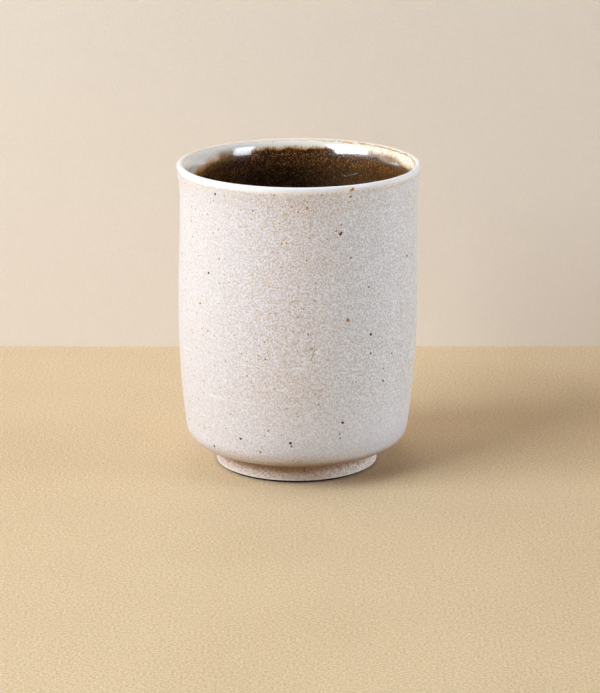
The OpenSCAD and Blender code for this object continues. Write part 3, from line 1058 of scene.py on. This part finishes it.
def foot_wash():
    """Thin matt wash, greyish where it is thin, with brown specks that gather near the top. Near the top it
    also turns brown with painted shade under the body, and its lower edge has a painted highlight.
    """
    material, tree, shader, place = new_material("foot_wash")
    _, z, unit = polar(tree, place)
    thin = between(tree, lumps(tree, place, 0.7 * MM, detail=4, rough=0.75), 0.4, 0.62)
    thick = between(tree, facing(tree, unit, WHITE_WASH_SIDE), 0.45, 0.95)
    colour = mixed(tree, thin, mixed(tree, thick, WASH_THIN, WASH_WHITE), WASH_GREY)
    # Browner towards the top of the foot: partly the wash, partly painted shade under the body's overhang
    uneven_z = maths(tree, "MULTIPLY_ADD", thin, 0.5 * MM, z)
    up = between(tree, uneven_z, *INTO_BROWN_AND_SHADE_WASH)
    colour = mixed(tree, times(tree, up, 0.8), colour, WASH_BROWN_AND_SHADE)
    # Painted highlight along the rounded lower edge of the wash
    colour = mixed(tree, between(tree, z, *INTO_WASH_EDGE_HIGHLIGHT, 0.0, 0.5), colour, WASH_EDGE_HIGHLIGHT)
    ragged = shaken(tree, place, 0.6 * MM, 0.5 * MM)
    fine = grains(tree, ragged, spacing=0.6 * MM, size=0.26 * MM, soft=0.6)
    colour = mixed(tree, times(tree, fine, 0.6), colour, WASH_SPECK)
    coarse = grains(tree, ragged, spacing=0.8 * MM, size=0.3 * MM, seed=0.2)
    coarse = times(tree, coarse, between(tree, z, *INTO_UPPER_WASH, 0.15, 0.85))
    colour = mixed(tree, coarse, colour, WASH_DARK_SPECK)
    finish(tree, shader, {
        "Base Color": colour,
        "Roughness": between(tree, thin, 0.0, 1.0, 0.6, 0.75),
    }, lumps(tree, place, 0.5 * MM, detail=3, seed=6), WASH_BUMP_H)
    return material


def stoneware():
    """Bare clay of the foot ring and the recess: toasted tan with dark and pale grog, painted near black at
    the outer edge as the shadow in the gap over the table.
    """
    material, tree, shader, place = new_material("stoneware")
    cloud = between(tree, lumps(tree, place, 6 * MM, detail=4), 0.35, 0.65)
    colour = mixed(tree, cloud, CLAY, CLAY_LIGHT)
    ragged = shaken(tree, place, 0.6 * MM, 0.4 * MM)
    pale_grog = grains(tree, ragged, spacing=1.1 * MM, size=0.34 * MM)
    colour = mixed(tree, times(tree, pale_grog, 0.5), colour, PALE_GROG)
    dark_grog = grains(tree, ragged, spacing=1.9 * MM, size=0.42 * MM, seed=0.2)
    colour = mixed(tree, times(tree, dark_grog, 0.8), colour, DARK_GROG)
    # Painted shadow: near black on the undercut at the ring's outer edge
    contact_shadow = between(tree, polar(tree, place)[0], *INTO_CONTACT_SHADOW, 0.0, 0.95)
    colour = mixed(tree, contact_shadow, colour, CONTACT_SHADOW_CLAY)
    finish(tree, shader, {
        "Base Color": colour,
        "Roughness": between(tree, cloud, 0.0, 1.0, 0.74, 0.88),
        "Specular IOR Level": 0.2,
    }, lumps(tree, place, 0.45 * MM, detail=4, seed=6), CLAY_BUMP_H)
    return material


# The pieces

def dress(piece, material, cad_node):
    """Gives a mesh its material and the body it rides on, and hides the CAD node that it stands for."""
    piece.data.materials.append(material)
    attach(piece, "root")
    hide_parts(cad_node)


dress(clay_mesh(), stoneware(), "clay_body")
dress(outer_glaze_mesh(), pale_glaze(), "outer_glaze")
dress(liner_glaze_mesh(), iron_glaze(), "liner_glaze")
dress(lip_glaze_mesh(), white_glaze(), "lip_glaze")
dress(foot_wash_mesh(), foot_wash(), "foot_wash")


# Stage, light and camera

# The backdrop stands this far behind the cup. Both sheets reach this far to every side.
WALL_Y = 122.9 * MM
REACH = 2.5
FLOOR_PAPER, FLOOR_FLECK, FLOOR_GRAIN = srgb(240, 214, 174), srgb(188, 156, 117), 0.5
WALL_PAPER, WALL_FLECK, WALL_GRAIN = srgb(238, 224, 208), srgb(228, 212, 195), 0.3
FIBRE_W = 0.75 * MM
CLOUD_W = 60 * MM
# Between these distances behind the cup's axis the paper is painted a little darker towards the viewer:
# painted light from the backdrop, which brightens the floor near it
INTO_PAINTED_FALLOFF = (110 * MM, -40 * MM)
# Depth of the fibres of a sheet whose grain is 1
FIBRE_H = 0.1 * MM


def plain_sheet(name, corners, paper, fleck, grain):
    """A flat sheet of paper for the floor or the backdrop. Grain is the strength of its fibres.
    It can't be seen from its back, so that nothing hides the cup from behind or from below."""
    mesh = bpy.data.meshes.new(name)
    mesh.from_pydata(corners, [], [(0, 1, 2, 3)])
    sheet = bpy.data.objects.new(name, mesh)
    bpy.context.scene.collection.objects.link(sheet)
    material, tree, shader, place = new_material(name)
    fibres = between(tree, lumps(tree, place, FIBRE_W, detail=3, rough=0.75), 0.38, 0.62)
    clouds = between(tree, lumps(tree, place, CLOUD_W, detail=2, seed=2), 0.3, 0.7, 0.0, 0.08)
    y = node(tree, "ShaderNodeSeparateXYZ", {0: place}).outputs[1]
    # Painted light: the floor lighter near the backdrop, darker towards the viewer
    near = between(tree, y, *INTO_PAINTED_FALLOFF, 0.08, 0.23)
    share = maths(tree, "ADD", maths(tree, "MULTIPLY_ADD", fibres, grain, clouds), near)
    colour = mixed(tree, share, paper, fleck)
    finish(tree, shader, {"Base Color": colour, "Roughness": 0.9}, fibres, grain * FIBRE_H)
    clear = node(tree, "ShaderNodeBsdfTransparent", {}).outputs[0]
    back = node(tree, "ShaderNodeNewGeometry", {}).outputs["Backfacing"]
    one_sided = node(tree, "ShaderNodeMixShader", {0: back, 1: shader.outputs[0], 2: clear}).outputs[0]
    output = next(n for n in tree.nodes if n.type == "OUTPUT_MATERIAL")
    tree.links.new(one_sided, output.inputs["Surface"])
    sheet.data.materials.append(material)


plain_sheet(
    "floor",
    [(x, y, 0) for x, y in ((-REACH, -REACH), (REACH, -REACH), (REACH, REACH), (-REACH, REACH))],
    FLOOR_PAPER, FLOOR_FLECK, FLOOR_GRAIN,
)
plain_sheet(
    "backdrop",
    [(x, WALL_Y, z) for x, z in ((-REACH, 0), (REACH, 0), (REACH, REACH), (-REACH, REACH))],
    WALL_PAPER, WALL_FLECK, WALL_GRAIN,
)


# Daylight is bluish, which balances the warm light that the paper throws back
DAYLIGHT = (0.81, 0.91, 1.0)
SKYLIGHT = (0.8, 0.87, 1.0)
LAMP_DISTANCE = 1.1
FILL_COLOUR = (1.0, 0.88, 0.72, 1)
FILL_STRENGTH = 0.02


def window_light(name, azimuth, elevation, wide, tall, power, colour):
    """Soft rectangular light that looks at the cup. Azimuth is in degrees from the front, towards +X."""
    data = bpy.data.lights.new(name, "AREA")
    data.shape = "RECTANGLE"
    data.size, data.size_y = wide, tall
    data.energy = power
    data.color = colour
    lamp = bpy.data.objects.new(name, data)
    a, e = math.radians(azimuth), math.radians(elevation)
    aim = Vector((0, 0, CUP_H / 2))
    away = Vector((math.sin(a) * math.cos(e), -math.cos(a) * math.cos(e), math.sin(e)))
    lamp.location = aim + away * LAMP_DISTANCE
    lamp.rotation_euler = away.to_track_quat("Z", "Y").to_euler()
    bpy.context.scene.collection.objects.link(lamp)
    return lamp


window_light("main_window", -60, 34, 0.74, 0.62, power=14.9, colour=DAYLIGHT)
window_light("left_bounce", -86, 30, 0.9, 0.7, power=2.2, colour=DAYLIGHT)
window_light("side_window", 65, 28, 0.4, 0.48, power=2.3, colour=SKYLIGHT)
# The photo shows no reflection of the light from the right
right_bounce = window_light("right_bounce", 108, 8, 1.3, 0.3, power=19.5, colour=SKYLIGHT)
right_bounce.visible_glossy = False

world = bpy.data.worlds.new("soft_fill")
bpy.context.scene.world = world
world.use_nodes = True
background = world.node_tree.nodes["Background"]
background.inputs["Color"].default_value = FILL_COLOUR
background.inputs["Strength"].default_value = FILL_STRENGTH

camera_data = bpy.data.cameras.new("camera")
camera_data.sensor_fit = "HORIZONTAL"
camera_data.sensor_width = SENSOR
camera_data.lens = CAMERA_LENS
camera = bpy.data.objects.new("camera", camera_data)
camera.location = CAMERA_AT
camera.rotation_euler = (math.radians(90 - CAMERA_PITCH), 0, 0)
bpy.context.scene.collection.objects.link(camera)
bpy.context.scene.camera = camera
bpy.context.scene.view_settings.view_transform = "Standard"
